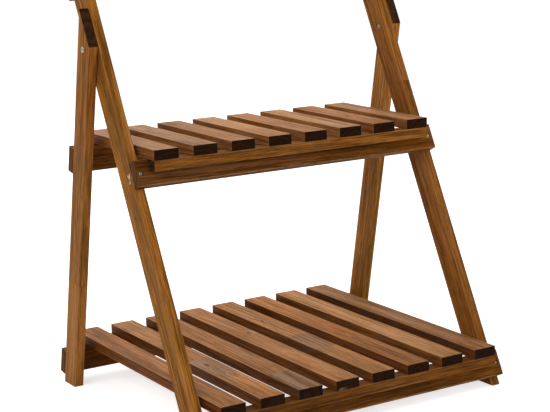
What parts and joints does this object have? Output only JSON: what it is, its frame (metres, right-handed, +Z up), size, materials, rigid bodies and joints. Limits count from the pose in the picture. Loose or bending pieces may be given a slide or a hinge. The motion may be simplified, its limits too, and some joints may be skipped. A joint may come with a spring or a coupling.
{
  "type": "ladder shelf",
  "caption": "Folding A-frame ladder shelf with crossed front and rear leg frames and lift-off slatted wooden shelves that get shallower towards the top.",
  "frame": {"origin": "middle of the object's footprint on the floor, under the middle of the bottom shelf", "axes": "+X to the right across the width, +Y towards the back, +Z up"},
  "size_m": [0.637, 0.5212, 0.762],
  "materials": {
    "frame_wood": "brown oiled hardwood",
    "slat_wood": "brown oiled hardwood, lighter on the worn tops",
    "steel": "dull zinc plating"
  },
  "bodies": {
    "front_frame": {"bottom_front_cross_rail": "frame_wood", "front_leg_left": "frame_wood", "front_leg_right": "frame_wood", "front_rail_screws": "steel", "middle_front_cross_rail": "frame_wood", "pivot_bolt_left": "steel", "pivot_bolt_right": "steel", "pivot_nut_left": "steel", "pivot_nut_right": "steel", "pivot_washer_left": "steel", "pivot_washer_right": "steel", "top_front_cross_rail": "frame_wood", "top_rear_cross_rail": "frame_wood", "top_rear_rail_screws": "steel"},
    "rear_frame": {"bottom_rear_cross_rail": "frame_wood", "middle_rear_cross_rail": "frame_wood", "rear_leg_left": "frame_wood", "rear_leg_right": "frame_wood", "rear_rail_screws": "steel"},
    "bottom_shelf": {"bottom_panel_front_rail": "frame_wood", "bottom_panel_rear_rail": "frame_wood", "bottom_slat_1": "slat_wood", "bottom_slat_2": "slat_wood", "bottom_slat_3": "slat_wood", "bottom_slat_4": "slat_wood", "bottom_slat_5": "slat_wood", "bottom_slat_6": "slat_wood", "bottom_slat_7": "slat_wood", "bottom_slat_8": "slat_wood", "bottom_slat_screws": "steel"},
    "middle_shelf": {"middle_panel_front_rail": "frame_wood", "middle_panel_rear_rail": "frame_wood", "middle_slat_1": "slat_wood", "middle_slat_2": "slat_wood", "middle_slat_3": "slat_wood", "middle_slat_4": "slat_wood", "middle_slat_5": "slat_wood", "middle_slat_6": "slat_wood", "middle_slat_7": "slat_wood", "middle_slat_8": "slat_wood", "middle_slat_screws": "steel"},
    "top_shelf": {"top_panel_front_rail": "frame_wood", "top_panel_rear_rail": "frame_wood", "top_slat_1": "slat_wood", "top_slat_2": "slat_wood", "top_slat_3": "slat_wood", "top_slat_4": "slat_wood", "top_slat_5": "slat_wood", "top_slat_6": "slat_wood", "top_slat_7": "slat_wood", "top_slat_8": "slat_wood", "top_slat_screws": "steel"}
  },
  "joints": [
    {"name": "rear_frame_fold", "type": "hinge", "parent": "front_frame", "child": "rear_frame", "pos_m": [0, 0.08418, 0.605], "axis": [-1, 0, 0], "range_deg": [0, 27]},
    {"name": "bottom_shelf_lift", "type": "slide", "parent": "front_frame", "child": "bottom_shelf", "axis": [0, 0, 1], "range_m": [0, 0.15]},
    {"name": "middle_shelf_lift", "type": "slide", "parent": "front_frame", "child": "middle_shelf", "axis": [0, 0, 1], "range_m": [0, 0.15]},
    {"name": "top_shelf_lift", "type": "slide", "parent": "front_frame", "child": "top_shelf", "axis": [0, 0, 1], "range_m": [0, 0.15]}
  ]
}
